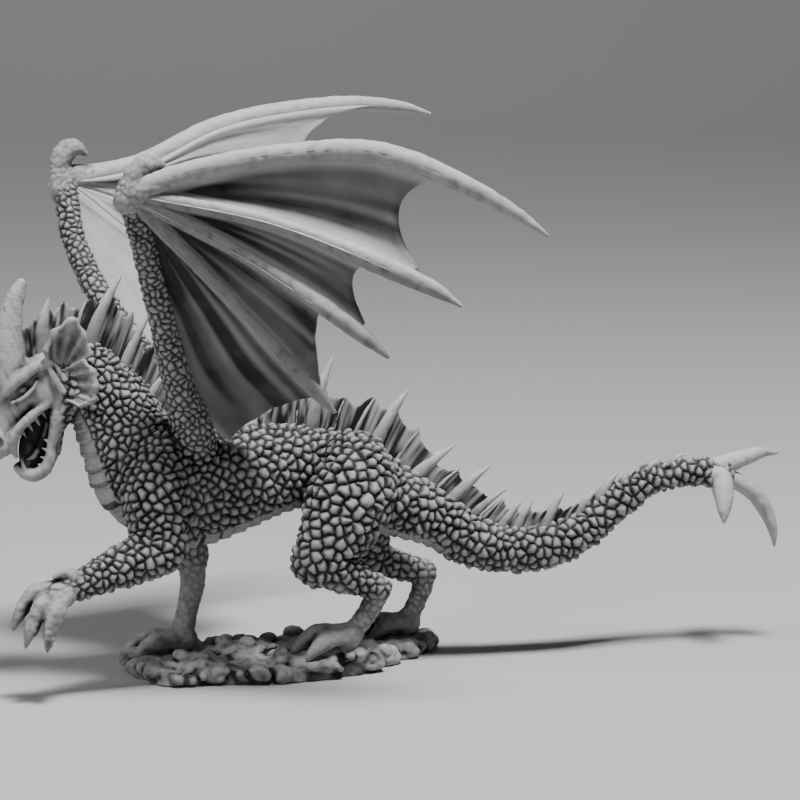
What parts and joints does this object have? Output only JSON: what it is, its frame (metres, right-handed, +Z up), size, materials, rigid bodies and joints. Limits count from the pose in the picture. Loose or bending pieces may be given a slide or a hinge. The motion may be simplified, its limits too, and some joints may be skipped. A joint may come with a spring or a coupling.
{
  "type": "tabletop gaming figure",
  "caption": "Winged dragon figure cast in metal, standing on a strip of rocky ground with one forefoot raised and wings up.",
  "frame": {"origin": "middle of the underside of the ground strip, on the table", "axes": "+Z up, +X from the head towards the tail, -Y the creature's left side"},
  "size_m": [0.1064, 0.0646, 0.0727],
  "materials": {
    "scales": "matte grey primer over scaled metal",
    "membrane": "matte grey primer over smooth metal",
    "rock": "matte grey primer over rough metal",
    "pins": "drawn brass rod"
  },
  "bodies": {
    "root": {"torso": "scales", "neck": "scales", "head": "scales", "left_foreleg": "scales", "right_foreleg": "scales", "left_hind_leg": "scales", "right_hind_leg": "scales", "tail_front": "scales", "tail_rear": "scales", "left_wing": "membrane", "right_wing": "membrane", "ground_base": "rock", "spine_pins": "pins", "limb_pins": "pins", "foot_pins": "pins"}
  },
  "joints": []
}
